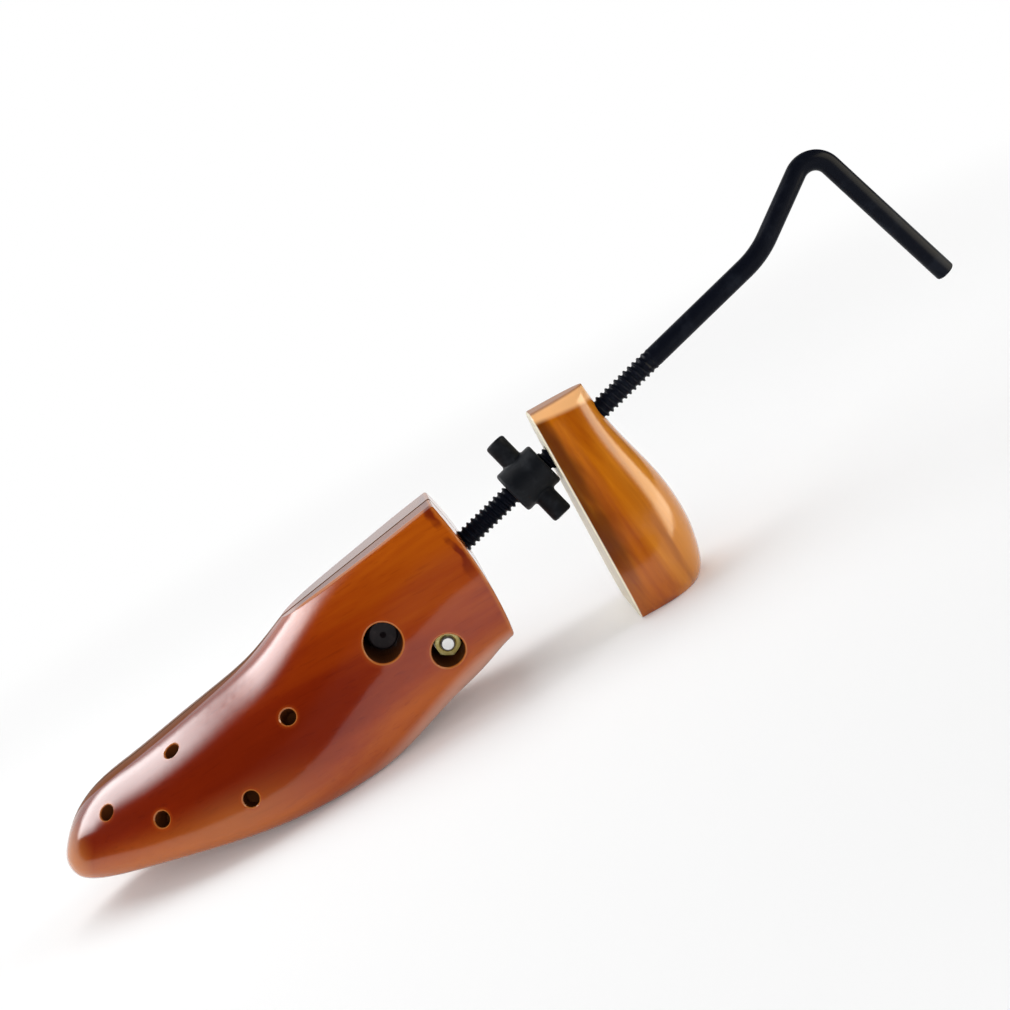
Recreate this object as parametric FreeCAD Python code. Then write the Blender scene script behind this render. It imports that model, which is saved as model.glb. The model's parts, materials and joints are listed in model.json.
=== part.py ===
import FreeCAD, Part
import math
import os

# A two-way wooden shoe stretcher. Lengths are in millimetres and angles in degrees.
# Working axes: X runs from the toe tip to the heel, Y = 0 is the saw cut, Z = 0 is the floor.
# The finished pieces are moved along X so that the origin is under the middle of the whole.

# Toe last, split in two along the saw cut
toe_length = 208.8
ball_width = 88.0
toe_spring = 21.1
instep_depth = 75.0
cone_break_share = 0.637
cone_break_height = 70.8
cone_slope_deg = 9.45
saw_cut = 1.0
rear_round_radius = 172.0
rear_bulge_height = 42.0
last_edge_round = 1.2
hole_rim_round = 0.7

# One row for each section of the last, from the toe tip back to just past the rear face:
# place along toe_length, half width of half ball_width, underside of toe_spring,
# height of instep_depth, level of the widest line within the height, flat sole within the half width
last_section_shares = (
    (0.000, 0.059, 1.000, 0.039, 0.460, 0.50),
    (0.005, 0.136, 0.910, 0.099, 0.400, 0.58),
    (0.0145, 0.234, 0.825, 0.164, 0.355, 0.63),
    (0.0335, 0.345, 0.744, 0.248, 0.293, 0.67),
    (0.067, 0.477, 0.668, 0.348, 0.237, 0.70),
    (0.125, 0.645, 0.592, 0.447, 0.190, 0.72),
    (0.211, 0.820, 0.483, 0.523, 0.160, 0.74),
    (0.3165, 0.950, 0.313, 0.623, 0.150, 0.76),
    (0.422, 1.000, 0.147, 0.723, 0.155, 0.77),
    (0.518, 0.982, 0.047, 0.812, 0.180, 0.75),
    (0.595, 0.923, 0.000, 0.912, 0.228, 0.71),
    (0.6715, 0.843, 0.028, 0.992, 0.286, 0.66),
    (0.748, 0.773, 0.199, 1.013, 0.315, 0.62),
    (0.8345, 0.723, 0.464, 1.014, 0.316, 0.60),
    (0.921, 0.705, 0.711, 1.009, 0.320, 0.60),
    (1.031, 0.691, 0.948, 1.015, 0.334, 0.60),
)
quarter_round_share = 0.5523

# Plug sockets, drilled square to the surface: places along toe_length and up instep_depth
socket_diameter = 6.6
socket_depth = 11.0
socket_rim_chamfer = 0.6
socket_place_shares = (
    (0.1394, 0.521),
    (0.308, 0.641),
    (0.2385, 0.388),
    (0.410, 0.276),
    (0.544, 0.541),
)

# Spindle line, which passes through the middle of the barrel nut and rises towards the heel
spindle_rise_deg = 15.08
barrel_before_rear = 47.4
barrel_height = 47.35

# Thread and crank
thread_diameter = 9.3
thread_root_diameter = 7.3
thread_pitch = 2.54
thread_flat_share = 0.25
thread_end_from_barrel = 157.2
thread_fade_turns = 3
rod_diameter = 8.5
crank_bend_from_barrel = 215.4
crank_bend_radius = 40.0
crank_bend_deg = 22.5
crank_jog_length = 47.6
handle_bend_radius = 9.0
handle_lean_deg = 20.5
handle_length = 78.4
handle_end_round = 1.0

# Barrel nut across the two toe halves
barrel_diameter = 12.4
barrel_half_length = 22.0
barrel_edge_chamfer = 0.8
barrel_dimple_diameter = 2.6
barrel_dimple_depth = 1.0
barrel_bearing_gap = 0.3
barrel_front_gap = 0.35
barrel_hole_drop = 0.75
thread_clearance = 0.08
rod_channel_clearance = 1.35

# Spreading: the halves swing about an upright line at the rear of the saw cut
spread_turns = 8
spread_deg = 4.5
pivot_before_rear = 2.5

# Spreader wedge on the front end of the spindle, measured forward from the barrel nut
wedge_tail_start = 16.0
wedge_tail_half_width = 8.0
wedge_shoulder_start = 26.0
wedge_shoulder_half_width = 11.0
wedge_shoulder_round = 2.0
wedge_nose_start = 50.0
wedge_flank_deg = 21.0
wedge_height = 18.0
journal_diameter = 6.0
journal_clearance = 0.05
journal_length = 14.0
journal_end_gap = 1.0
thrust_gap = 0.1
pin_diameter = 2.0
pin_from_tail = 6.0
pin_groove_diameter = 4.6
pin_clearance = 0.05
pin_end_set_back = 0.5
press_gap = 0.02

# Ramp plates let into the halves, and their wood screws
ramp_clearance = 0.8
ramp_thickness = 2.0
ramp_height = 20.0
ramp_lead_in = 6.0
ramp_run_out = 8.0
ramp_pocket_gap = 0.2
tail_pocket_gap = 1.5
nose_relief = 3.0
nose_relief_length = 10.0
screw_diameter = 3.0
screw_head_diameter = 6.0
screw_head_depth = 1.5
screw_length = 12.0
screw_point_length = 3.0
screw_from_ramp_end = 4.0
screw_head_sink = 0.1

# Hinge bolt, nut, washers and springs
bolt_before_rear = 26.7
bolt_height = 30.3
bolt_hole_rise = 0.3
bolt_diameter = 6.0
bolt_shoulder_wood = 3.5
bolt_head_height = 4.0
bolt_end_beyond_nut = 1.5
bolt_end_chamfer = 0.6
nut_across_flats = 10.0
nut_thickness = 5.0
nut_chamfer = 0.7
nut_bore_chamfer = 0.6
bolt_pass_clearance = 0.6
bolt_bearing_gap = 0.35
bolt_front_gap = 0.35
washer_diameter = 11.0
washer_thickness = 1.0
washer_clearance = 0.2
spring_length = 9.0
spring_wire = 1.1
spring_turns = 3.5
spring_slack = 0.45
spring_seat_gap = 0.02

# Length nut, measured back from the barrel nut
length_nut_from_barrel = 85.2
hub_diameter = 19.4
hub_length = 18.6
hub_edge_round = 1.2
bar_diameter = 9.2
bar_reach = 20.5
bar_end_round = 1.2
bar_roll_deg = 15.0
bar_root_round = 1.0

# Heel block
heel_height = 93.3
heel_depth = 38.0
heel_width = 51.0
heel_side_share = 0.30
heel_corner_share = 0.60
heel_gap = 0.4
heel_bore_clearance = 0.55
heel_edge_round = 1.2

# One row for each level of the heel block: place up heel_height, depth of heel_depth, width of heel_width
heel_section_shares = (
    (0.0000, 0.818, 0.800),
    (0.0300, 0.878, 0.890),
    (0.0750, 0.928, 0.955),
    (0.1400, 0.967, 0.995),
    (0.2040, 0.992, 0.985),
    (0.3000, 1.000, 0.935),
    (0.4800, 0.947, 0.845),
    (0.6400, 0.841, 0.735),
    (0.8000, 0.738, 0.600),
    (0.8680, 0.709, 0.535),
    (0.9350, 0.687, 0.469),
    (0.9635, 0.679, 0.422),
    (0.9818, 0.673, 0.358),
    (0.9938, 0.669, 0.282),
    (0.9987, 0.664, 0.219),
    (1.0000, 0.651, 0.165),
)

# How far cutting shapes run past what they cut
overrun = 20.0

spread_angle = math.radians(spread_deg)
spindle_rise = math.radians(spindle_rise_deg)
spread_travel = spread_turns * thread_pitch
pivot_from_toe = toe_length - pivot_before_rear
barrel_from_toe = toe_length - barrel_before_rear
bolt_from_toe = toe_length - bolt_before_rear
cone_break_from_toe = toe_length * cone_break_share
hub_rear = length_nut_from_barrel + hub_length / 2
heel_front = barrel_from_toe + hub_rear * math.cos(spindle_rise) \
    + hub_diameter / 2 * math.sin(spindle_rise) + heel_gap


def vec(x, y, z):
    return FreeCAD.Vector(x, y, z)


barrel_centre = vec(barrel_from_toe, 0, barrel_height)
along_y = vec(0, 1, 0)
along_x = vec(1, 0, 0)


def segment(start, end):
    return Part.LineSegment(start, end).toShape()


def bezier(*poles):
    curve = Part.BezierCurve()
    curve.setPoles(list(poles))
    return curve.toShape()


def polygon_prism(points, direction):
    face = Part.Face(Part.makePolygon(list(points) + [points[0]]))
    return face.extrude(direction)


def mirrored(shape):
    return shape.mirror(vec(0, 0, 0), along_y)


def to_spindle(shape):
    # Moves a shape drawn with X back along the spindle from the barrel nut's middle to its place
    placed = shape.copy()
    turn = FreeCAD.Rotation(along_y, -spindle_rise_deg)
    placed.Placement = FreeCAD.Placement(barrel_centre, turn).multiply(placed.Placement)
    return placed


def spindle_point(back, side, up):
    turn = FreeCAD.Rotation(along_y, -spindle_rise_deg)
    return barrel_centre + turn.multVec(vec(back, side, up))


def plan_prism(points, half_height):
    # Points are (forward, outward) pairs in the plan of the spindle
    corners = [vec(-forward, outward, -half_height) for forward, outward in points]
    return polygon_prism(corners, vec(0, 0, 2 * half_height))


def crank_points():
    # The bends of the crank lie in the plane of the saw cut
    jog_angle = spindle_rise + math.radians(crank_bend_deg)
    lean = math.radians(handle_lean_deg)
    first = spindle_point(crank_bend_from_barrel, 0, 0)
    second = first + vec(math.cos(jog_angle), 0, math.sin(jog_angle)) * crank_jog_length
    end = second + vec(math.sin(lean), 0, -math.cos(lean)) * handle_length
    return first, second, end


def overall_length():
    # From the toe tip to the rounded end of the handle
    end = crank_points()[2]
    lean = math.radians(handle_lean_deg)
    flat_radius = rod_diameter / 2 - handle_end_round
    corner = end.x + flat_radius * math.cos(lean) - handle_end_round * math.sin(lean)
    return corner + handle_end_round


def swing_shift(from_toe, outward):
    # How far back a point of a half moves as the half swings fully open
    arm = pivot_from_toe - from_toe
    return outward * math.sin(spread_angle) + arm * (1 - math.cos(spread_angle))


def last_section(place, half_share, sole_share, height_share, widest_share, flat_share):
    x = place * toe_length
    half = half_share * ball_width / 2
    bottom = sole_share * toe_spring
    top = bottom + height_share * instep_depth
    widest = bottom + widest_share * (top - bottom)
    flat = flat_share * half
    upper = bezier(
        vec(x, 0, top),
        vec(x, half * quarter_round_share, top),
        vec(x, half, widest + (top - widest) * quarter_round_share),
        vec(x, half, widest))
    lower = bezier(
        vec(x, half, widest),
        vec(x, half, widest - (widest - bottom) * quarter_round_share),
        vec(x, flat + (half - flat) * quarter_round_share, bottom),
        vec(x, flat, bottom))
    sole = segment(vec(x, flat, bottom), vec(x, 0, bottom))
    seam = segment(vec(x, 0, bottom), vec(x, 0, top))
    return Part.Wire([upper, lower, sole, seam])


def last_half():
    # The far half's outside, before it is drilled and let in
    half = Part.makeLoft([last_section(*row) for row in last_section_shares], True, False)
    slope = math.tan(math.radians(cone_slope_deg))
    rear = toe_length + overrun
    rise = (rear - cone_break_from_toe) * slope
    fall = (cone_break_from_toe + overrun) * slope
    above_cone = polygon_prism(
        (vec(-overrun, 0, cone_break_height - fall),
         vec(rear, 0, cone_break_height + rise),
         vec(rear, 0, cone_break_height + rise + instep_depth),
         vec(-overrun, 0, cone_break_height + rise + instep_depth)),
        vec(0, ball_width, 0))
    round_centre = vec(toe_length - rear_round_radius, 0, rear_bulge_height)
    rear_round = Part.makeCylinder(rear_round_radius, ball_width, round_centre, along_y)
    half = half.cut(above_cone).common(rear_round)
    kerf = Part.makeBox(
        toe_length + 2 * overrun, saw_cut / 2, instep_depth + toe_spring + 2 * overrun,
        vec(-overrun, 0, -overrun))
    floor = Part.makeBox(
        toe_length + 2 * overrun, ball_width, overrun, vec(-overrun, 0, -overrun))
    half = half.cut(kerf).cut(floor)
    return half.makeFillet(last_edge_round, last_outer_edges(half))


def last_outer_edges(half):
    # The outside edges of the rounded rear face and the crease along the sloped top
    edges = []
    for face in half.Faces:
        surface = face.Surface
        rear = isinstance(surface, Part.Cylinder)
        level = isinstance(surface, Part.Plane) and abs(surface.Axis.z) > abs(surface.Axis.y)
        if rear or (level and face.BoundBox.ZMax > cone_break_height):
            edges.extend(edge for edge in face.OuterWire.Edges if edge.BoundBox.YMax > saw_cut)
    return edges


def socket_places(half):
    # Finds where each socket meets the far half's outside, with the outward direction there
    places = []
    for place_share, height_share in socket_place_shares:
        start = vec(place_share * toe_length, saw_cut, height_share * instep_depth)
        ray = segment(start, start + along_y * ball_width)
        inside = ray.common(half)
        mouth = max((vertex.Point for vertex in inside.Vertexes), key=lambda point: point.y)
        skin = min(half.Faces, key=lambda face: face.distToShape(Part.Vertex(mouth))[0])
        normal = skin.normalAt(*skin.Surface.parameter(mouth))
        if normal.y < 0:
            normal = normal * -1
        places.append((mouth, normal))
    return places


def socket_cutter(mouth, normal):
    bore = Part.makeCylinder(
        socket_diameter / 2, socket_depth + overrun, mouth - normal * socket_depth, normal)
    rim_radius = socket_diameter / 2 + socket_rim_chamfer
    rim = Part.makeCone(
        socket_diameter / 2, rim_radius + socket_rim_chamfer, 2 * socket_rim_chamfer,
        mouth - normal * socket_rim_chamfer, normal)
    return bore.fuse(rim)


def barrel_hole():
    # Wider than the nut, and set forward and down, so that the half can swing about the nut
    swing = swing_shift(barrel_from_toe, barrel_half_length)
    forward = (barrel_front_gap + swing - barrel_bearing_gap) / 2
    room = barrel_bearing_gap + forward + barrel_hole_drop / 2
    centre = barrel_centre - vec(forward, 0, barrel_hole_drop)
    return Part.makeCylinder(barrel_diameter / 2 + room, ball_width, centre, along_y)


def washer_start():
    return bolt_shoulder_wood + spring_length


def nut_start():
    return washer_start() + washer_thickness


def nut_corner_radius():
    return nut_across_flats / math.sqrt(3)


def bolt_hole():
    # A close hole for the shank, and a wider one from the spring's seat outwards for the nut or the head
    nut_end = nut_start() + nut_thickness
    room = (bolt_bearing_gap + bolt_front_gap + swing_shift(bolt_from_toe, nut_end)) / 2
    line = vec(bolt_from_toe, 0, bolt_height)
    shank_forward = swing_shift(bolt_from_toe, bolt_shoulder_wood) / 2
    through = Part.makeCylinder(
        bolt_diameter / 2 + bolt_pass_clearance, ball_width, line - along_x * shank_forward, along_y)
    pocket_centre = line + vec(bolt_bearing_gap - room, bolt_shoulder_wood, bolt_hole_rise)
    pocket = Part.makeCylinder(nut_corner_radius() + room, ball_width, pocket_centre, along_y)
    return through.fuse(pocket)


def ramp_line():
    # The path of the wedge's shoulder seen from the half as it swings, in (forward, outward) pairs
    outward = wedge_shoulder_half_width - wedge_shoulder_round
    start = vec(wedge_shoulder_start, outward, 0)
    reach = wedge_shoulder_start + spread_travel
    arm = barrel_from_toe - reach * math.cos(spindle_rise) - pivot_from_toe
    end_from_toe = pivot_from_toe + arm * math.cos(spread_angle) - outward * math.sin(spread_angle)
    end_outward = arm * math.sin(spread_angle) + outward * math.cos(spread_angle)
    end = vec((barrel_from_toe - end_from_toe) / math.cos(spindle_rise), end_outward, 0)
    run = (end - start).normalize()
    square = vec(-run.y, run.x, 0)
    face_start = start + square * (wedge_shoulder_round + ramp_clearance) - run * ramp_lead_in
    face_length = (end - start).Length + ramp_lead_in + ramp_run_out
    return face_start, run, square, face_length


def plan_pair(point):
    return point.x, point.y


def ramp_screw_places():
    face_start, run, square, face_length = ramp_line()
    return [face_start + run * screw_from_ramp_end,
            face_start + run * (face_length - screw_from_ramp_end)]


def screw_shape(place, extra):
    # A countersunk wood screw, grown by extra to make its hole
    square = ramp_line()[2]
    direction = vec(-square.x, square.y, 0)
    top = vec(-place.x, place.y, 0) + direction * screw_head_sink
    shank = screw_diameter / 2 + extra
    head = Part.makeCone(screw_head_diameter / 2 + extra, shank, screw_head_depth, top, direction)
    straight = screw_length - screw_point_length
    body = Part.makeCylinder(shank, straight, top, direction)
    point = Part.makeCone(shank, extra, screw_point_length + extra, top + direction * straight, direction)
    return head.fuse(body).fuse(point)


def screw_sink_hole(place):
    square = ramp_line()[2]
    direction = vec(-square.x, square.y, 0)
    top = vec(-place.x, place.y, 0) - direction * screw_head_sink
    return Part.makeCylinder(screw_head_diameter / 2 + press_gap, 2 * screw_head_sink, top, direction)


def wedge_pocket():
    # Room in the far half for the wedge and its ramp plate
    face_start, run, square, face_length = ramp_line()
    back_start = face_start + square * ramp_thickness
    back_end = back_start + run * face_length
    rear = wedge_tail_start - tail_pocket_gap
    front = wedge_nose_start + nose_relief_length
    outline = (
        (rear, 0),
        (rear, back_start.y),
        plan_pair(back_start),
        plan_pair(back_end),
        (back_end.x, nose_relief),
        (front, nose_relief),
        (front, 0))
    return to_spindle(plan_prism(outline, ramp_height / 2 + ramp_pocket_gap))


def rod_channel():
    start = vec(-wedge_tail_start, 0, 0)
    length = wedge_tail_start + toe_length
    radius = thread_diameter / 2 + rod_channel_clearance
    return to_spindle(Part.makeCylinder(radius, length, start, along_x))


def hole_rims(half):
    # The outer rims of the barrel nut's hole and the hinge bolt's hole
    inner = nut_start() + nut_thickness
    edges = []
    for face in half.Faces:
        surface = face.Surface
        if isinstance(surface, Part.Cylinder) and last_edge_round < surface.Radius < ball_width / 2:
            edges.extend(edge for edge in face.OuterWire.Edges if edge.BoundBox.YMin > inner)
    return edges


def toe_half_far():
    half = last_half()
    cutters = [socket_cutter(mouth, normal) for mouth, normal in socket_places(half)]
    half = half.cut(barrel_hole()).cut(bolt_hole())
    half = half.makeFillet(hole_rim_round, hole_rims(half))
    cutters.append(wedge_pocket())
    cutters.append(rod_channel())
    cutters.extend(to_spindle(screw_shape(place, press_gap)) for place in ramp_screw_places())
    for cutter in cutters:
        half = half.cut(cutter)
    return half


def ramp_plate_far():
    face_start, run, square, face_length = ramp_line()
    face_end = face_start + run * face_length
    depth = square * ramp_thickness
    outline = [face_start, face_end, face_end + depth, face_start + depth]
    plate = plan_prism([plan_pair(point) for point in outline], ramp_height / 2)
    for place in ramp_screw_places():
        plate = plate.cut(screw_shape(place, press_gap)).cut(screw_sink_hole(place))
    return to_spindle(plate)


def ramp_screws_far():
    return Part.makeCompound([to_spindle(screw_shape(place, 0)) for place in ramp_screw_places()])


def barrel_nut():
    start = barrel_centre - along_y * barrel_half_length
    body = Part.makeCylinder(barrel_diameter / 2, 2 * barrel_half_length, start, along_y)
    body = body.makeChamfer(barrel_edge_chamfer, [edge for edge in body.Edges if edge.isClosed()])
    bore_radius = thread_diameter / 2 + thread_clearance
    bore = Part.makeCylinder(bore_radius, 2 * barrel_diameter, vec(-barrel_diameter, 0, 0), along_x)
    body = body.cut(to_spindle(bore))
    for side in (along_y, -along_y):
        dimple = Part.makeCone(
            barrel_dimple_diameter / 2, 0, barrel_dimple_depth, barrel_centre + side * barrel_half_length, -side)
        body = body.cut(dimple)
    return body


def hexagon_prism(start, height):
    # Drawn about the hinge bolt's line, with flats facing forward and back
    corners = []
    for corner in range(6):
        angle = math.radians(60 * corner + 30)
        corners.append(vec(
            bolt_from_toe + nut_corner_radius() * math.cos(angle),
            start,
            bolt_height + nut_corner_radius() * math.sin(angle)))
    return polygon_prism(corners, along_y * height)


def cone_trim(start, height, chamfered_end):
    # The turned-down corners that a hexagon has on its outer face
    line = vec(bolt_from_toe, 0, bolt_height)
    wide = nut_corner_radius()
    narrow = wide - nut_chamfer
    straight = height - nut_chamfer
    outward = along_y * chamfered_end
    body_start = line + along_y * start
    body = Part.makeCylinder(wide, straight, body_start, outward)
    tip = Part.makeCone(wide, narrow, nut_chamfer, body_start + outward * straight, outward)
    return body.fuse(tip)


def hinge_bolt():
    # The head is in the far half and the threaded end in the near half
    head = hexagon_prism(nut_start(), bolt_head_height)
    head = head.common(cone_trim(nut_start(), bolt_head_height, 1))
    end = nut_start() + nut_thickness + bolt_end_beyond_nut
    line = vec(bolt_from_toe, 0, bolt_height)
    length = end + nut_start() - bolt_end_chamfer
    shank = Part.makeCylinder(bolt_diameter / 2, length, line + along_y * nut_start(), -along_y)
    tip_start = line - along_y * (end - bolt_end_chamfer)
    tip = Part.makeCone(
        bolt_diameter / 2, bolt_diameter / 2 - bolt_end_chamfer, bolt_end_chamfer, tip_start, -along_y)
    return head.fuse(shank).fuse(tip)


def hinge_nut():
    body = hexagon_prism(-nut_start(), -nut_thickness)
    body = body.common(cone_trim(-nut_start(), nut_thickness, -1))
    line = vec(bolt_from_toe, 0, bolt_height)
    bore_radius = bolt_diameter / 2 + press_gap
    bore = Part.makeCylinder(bore_radius, ball_width, line, -along_y)
    outer_face = line - along_y * (nut_start() + nut_thickness)
    rim = Part.makeCone(bore_radius + nut_bore_chamfer, bore_radius, nut_bore_chamfer, outer_face, along_y)
    return body.cut(bore).cut(rim)


def hinge_washer_far():
    start = vec(bolt_from_toe, washer_start(), bolt_height)
    disc = Part.makeCylinder(washer_diameter / 2, washer_thickness, start, along_y)
    hole = Part.makeCylinder(bolt_diameter / 2 + washer_clearance, washer_thickness, start, along_y)
    return disc.cut(hole)


def spring_radius():
    return bolt_diameter / 2 + spring_slack + spring_wire / 2


def spring_rise():
    return spring_length - spring_wire - 2 * spring_seat_gap


def spring_point(turn):
    angle = 2 * math.pi * turn
    along = bolt_shoulder_wood + spring_seat_gap + spring_wire / 2 + spring_rise() * turn / spring_turns
    return vec(
        bolt_from_toe + spring_radius() * math.cos(angle),
        along,
        bolt_height + spring_radius() * math.sin(angle))


def spring_direction(turn):
    angle = 2 * math.pi * turn
    around = 2 * math.pi * spring_radius()
    pitch = spring_rise() / spring_turns
    return vec(-math.sin(angle) * around, pitch, math.cos(angle) * around).normalize()


def tangent_arc(start, corner, end):
    # The circular arc that leaves start towards corner and arrives at end from corner
    weight = (end - start).Length / 2 / (corner - start).Length
    middle = (start + end + corner * (2 * weight)) * (1 / (2 + 2 * weight))
    return Part.Arc(start, middle, end).toShape()


def quarter_turn(turn_from, turn_to):
    # Two tangent arcs that follow the helix from one turn to the next
    start, end = spring_point(turn_from), spring_point(turn_to)
    leave, arrive = spring_direction(turn_from), spring_direction(turn_to)
    chord = end - start
    both = leave + arrive
    bend = 2 * (1 - leave.dot(arrive))
    slant = 2 * chord.dot(both)
    reach = (-slant + math.sqrt(slant * slant + 4 * bend * chord.dot(chord))) / (2 * bend)
    first, last = start + leave * reach, end - arrive * reach
    joint = (first + last) * (1 / 2)
    return [tangent_arc(start, first, joint), tangent_arc(joint, last, end)]


def hinge_spring_far():
    quarters = round(spring_turns * 4)
    arcs = []
    for quarter in range(quarters):
        arcs.extend(quarter_turn(quarter / 4, (quarter + 1) / 4))
    ring = Part.makeCircle(spring_wire / 2, spring_point(0), spring_direction(0))
    return Part.Wire(arcs).makePipeShell([Part.Wire(ring)], True, False)


def print_spring_gap():
    # The least gap between neighbouring turns, measured on points along the wire
    steps = 72
    points = [spring_point(step / steps) for step in range(round(spring_turns * steps) + 1)]
    least = min(
        (points[later] - points[earlier]).Length
        for earlier in range(len(points))
        for later in range(earlier + steps // 2, len(points)))
    print("hinge spring's least gap to itself: %.2f mm" % (least - spring_wire))


def spreader_wedge():
    centre_out = wedge_shoulder_half_width - wedge_shoulder_round
    flank = math.radians(wedge_flank_deg)
    touch = (wedge_shoulder_start + wedge_shoulder_round * math.sin(flank),
             centre_out + wedge_shoulder_round * math.cos(flank))
    nose_half = touch[1] - (wedge_nose_start - touch[0]) * math.tan(flank)
    side = [
        (wedge_tail_start, wedge_tail_half_width),
        (wedge_shoulder_start, wedge_tail_half_width),
        (wedge_shoulder_start, centre_out),
        touch,
        (wedge_nose_start, nose_half)]
    outline = side + [(forward, -outward) for forward, outward in reversed(side)]
    wedge = plan_prism(outline, wedge_height / 2)
    for outward in (centre_out, -centre_out):
        start = vec(-wedge_shoulder_start, outward, -wedge_height / 2)
        wedge = wedge.fuse(Part.makeCylinder(wedge_shoulder_round, wedge_height, start))
    wedge = wedge.removeSplitter()
    bore_length = journal_length + journal_end_gap
    bore = Part.makeCylinder(
        journal_diameter / 2 + journal_clearance, bore_length, vec(-wedge_tail_start, 0, 0), -along_x)
    return to_spindle(wedge.cut(bore).cut(pin_shape(wedge_tail_half_width + overrun, press_gap)))


def pin_shape(half_length, extra):
    lift = pin_groove_diameter / 2 + pin_clearance + pin_diameter / 2
    start = vec(-wedge_tail_start - pin_from_tail, -half_length, lift)
    return Part.makeCylinder(pin_diameter / 2 + extra, 2 * half_length, start, along_y)


def wedge_pin():
    return to_spindle(pin_shape(wedge_tail_half_width - pin_end_set_back, 0))


def thread_outline():
    # Half profile of the threaded length as (back, radius) pairs, with ridges that fade into the shank
    crest, root, shank = thread_diameter / 2, thread_root_diameter / 2, rod_diameter / 2
    front = thrust_gap - wedge_tail_start
    ridges = int((thread_end_from_barrel - front) / thread_pitch)
    flat = thread_pitch * thread_flat_share
    flank = thread_pitch / 2 - flat
    profile = [(front, 0), (front, root)]
    for ridge in range(ridges):
        fade = max(0, (ridge + 1 + thread_fade_turns - ridges) / (thread_fade_turns + 1))
        top = crest + (shank - crest) * fade
        low = root + (shank - root) * fade
        start = front + ridge * thread_pitch
        profile.append((start + flat, low))
        profile.append((start + flat + flank, top))
        profile.append((start + 2 * flat + flank, top))
        profile.append((start + thread_pitch, low))
    end = front + ridges * thread_pitch + flank
    profile.append((end, shank))
    profile.append((end, 0))
    return profile


def crank_rod():
    # The smooth shank and the bent handle, swept along straight runs and tangent arcs
    first, second, end = crank_points()
    start = spindle_point(thread_outline()[-1][0], 0, 0)
    runs = [start, first, second, end]
    edges = []
    leave = start
    for corner, radius in ((1, crank_bend_radius), (2, handle_bend_radius)):
        point = runs[corner]
        inward = (runs[corner - 1] - point).normalize()
        outward = (runs[corner + 1] - point).normalize()
        half_angle = inward.getAngle(outward) / 2
        tangent = radius / math.tan(half_angle)
        bisector = (inward + outward).normalize()
        middle = point + bisector * (radius / math.sin(half_angle) - radius)
        edges.append(segment(leave, point + inward * tangent))
        edges.append(Part.Arc(point + inward * tangent, middle, point + outward * tangent).toShape())
        leave = point + outward * tangent
    edges.append(segment(leave, end))
    section = Part.makeCircle(rod_diameter / 2, start, first - start)
    rod = Part.Wire(edges).makePipeShell([Part.Wire(section)], True, False)
    tip = [edge for edge in rod.Edges if edge.CenterOfMass.distanceToPoint(end) < handle_end_round]
    return rod.makeFillet(handle_end_round, tip)


def crank_spindle():
    profile = [vec(back, 0, radius) for back, radius in thread_outline()]
    thread = Part.Face(Part.makePolygon(profile + [profile[0]])).revolve(vec(0, 0, 0), along_x, 360)
    journal_start = vec(thrust_gap - wedge_tail_start, 0, 0)
    journal = Part.makeCylinder(
        journal_diameter / 2, journal_length + thrust_gap, journal_start, -along_x)
    groove_width = pin_diameter + 4 * pin_clearance
    groove_start = vec(-wedge_tail_start - pin_from_tail - groove_width / 2, 0, 0)
    ring = Part.makeCylinder(journal_diameter, groove_width, groove_start, along_x)
    core = Part.makeCylinder(pin_groove_diameter / 2, groove_width, groove_start, along_x)
    journal = journal.cut(ring.cut(core))
    return to_spindle(thread.fuse(journal)).fuse(crank_rod())


def length_nut():
    hub = Part.makeCylinder(hub_diameter / 2, hub_length, vec(-hub_length / 2, 0, 0), along_x)
    hub = hub.makeFillet(hub_edge_round, [edge for edge in hub.Edges if edge.isClosed()])
    bars = Part.makeCylinder(bar_diameter / 2, 2 * bar_reach, vec(0, 0, -bar_reach))
    bars = bars.makeFillet(bar_end_round, [edge for edge in bars.Edges if edge.isClosed()])
    casting = hub.fuse(bars)
    roots = [edge for edge in casting.Edges
             if hub_diameter / 4 < abs(edge.CenterOfMass.z) < hub_diameter / 2 + bar_end_round
             and edge.BoundBox.XLength < bar_diameter + bar_end_round
             and edge.BoundBox.YLength > bar_diameter / 4]
    casting = casting.makeFillet(bar_root_round, roots)
    bore_radius = thread_diameter / 2 + thread_clearance
    bore = Part.makeCylinder(bore_radius, 2 * hub_length, vec(-hub_length, 0, 0), along_x)
    casting = casting.cut(bore)
    casting.rotate(vec(0, 0, 0), along_x, -bar_roll_deg)
    casting.translate(vec(length_nut_from_barrel, 0, 0))
    return to_spindle(casting)


def heel_section(level_share, depth_share, width_share):
    z = level_share * heel_height
    half = width_share * heel_width / 2
    back = heel_front + depth_share * heel_depth
    turn = heel_front + depth_share * heel_depth * heel_side_share
    reach = back - turn
    bulge = heel_corner_share
    left = bezier(
        vec(turn, -half, z),
        vec(turn + reach * bulge, -half, z),
        vec(back, -half * bulge, z),
        vec(back, 0, z))
    right = bezier(
        vec(back, 0, z),
        vec(back, half * bulge, z),
        vec(turn + reach * bulge, half, z),
        vec(turn, half, z))
    front = segment(vec(heel_front, half, z), vec(heel_front, -half, z))
    near_side = segment(vec(heel_front, -half, z), vec(turn, -half, z))
    far_side = segment(vec(turn, half, z), vec(heel_front, half, z))
    return Part.Wire([near_side, left, right, far_side, front])


def heel_outer_edges(block):
    # The edges round the bottom and the flat front; the top sections round the rest
    edges = []
    for edge in block.Edges:
        box = edge.BoundBox
        bottom = box.ZMax < heel_edge_round
        front = box.XMax < heel_front + heel_edge_round
        if bottom or front:
            edges.append(edge)
    return edges


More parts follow.
